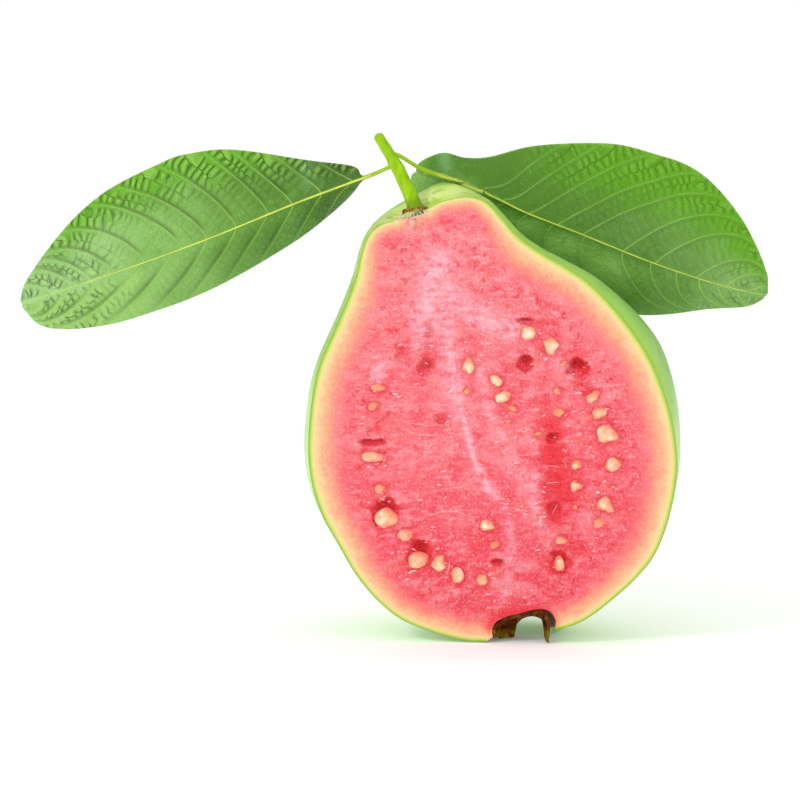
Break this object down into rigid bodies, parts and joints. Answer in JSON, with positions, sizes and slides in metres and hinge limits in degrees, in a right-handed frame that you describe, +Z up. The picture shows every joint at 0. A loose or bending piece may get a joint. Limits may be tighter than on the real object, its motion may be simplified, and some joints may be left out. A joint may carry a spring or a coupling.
{
  "type": "guava half",
  "caption": "Half of a fresh pink guava cut lengthways, with its green stem, two leaves and dry calyx, standing on a small flat spot at its base.",
  "frame": {"origin": "middle of the flat spot that the fruit stands on, on the surface", "axes": "+X to the right along the cut face, +Y back from the cut face into the fruit, +Z up"},
  "size_m": [0.1469, 0.0429, 0.0983],
  "materials": {
    "fruit": "moist pink pulp with cream seeds, smooth light green skin",
    "calyx": "dry, dark brown",
    "stem": "fresh yellow-green, waxy",
    "leaf": "quilted green blade with pale veins, soft gloss"
  },
  "bodies": {
    "root": {"guava_half": "fruit", "calyx": "calyx", "stem": "stem", "leaf_left": "leaf", "leaf_right": "leaf"}
  },
  "joints": []
}
